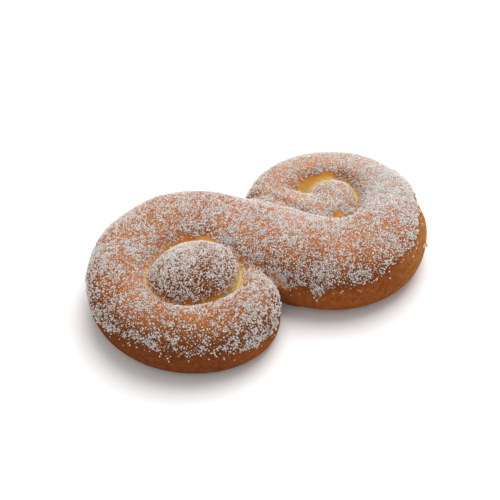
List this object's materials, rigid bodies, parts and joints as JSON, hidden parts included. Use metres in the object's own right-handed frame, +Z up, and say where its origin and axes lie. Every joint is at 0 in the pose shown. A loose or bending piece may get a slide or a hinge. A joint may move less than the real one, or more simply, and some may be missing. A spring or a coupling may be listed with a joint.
{
  "type": "sugar pretzel pastry",
  "caption": "S-shaped double-coil pastry of sweet yeast dough, one coil with a raised round knob and the other with a small open pit, coated in coarse sugar above a bare brown lower edge.",
  "frame": {"origin": "centre of the bounding box in plan, on the flat underside the pastry rests on", "axes": "+X along the S from the coil with the knob to the coil with the pit, +Y away from the viewer across the S, +Z up"},
  "size_m": [0.172, 0.1016, 0.04],
  "materials": {
    "sugared_crust": "matt baked crust, golden brown on top and deeper brown on the bare lower edge, with pale yellow creases and a coat of coarse off-white sugar crystals"
  },
  "bodies": {
    "root": {"sugar_pretzel": "sugared_crust"}
  },
  "joints": []
}
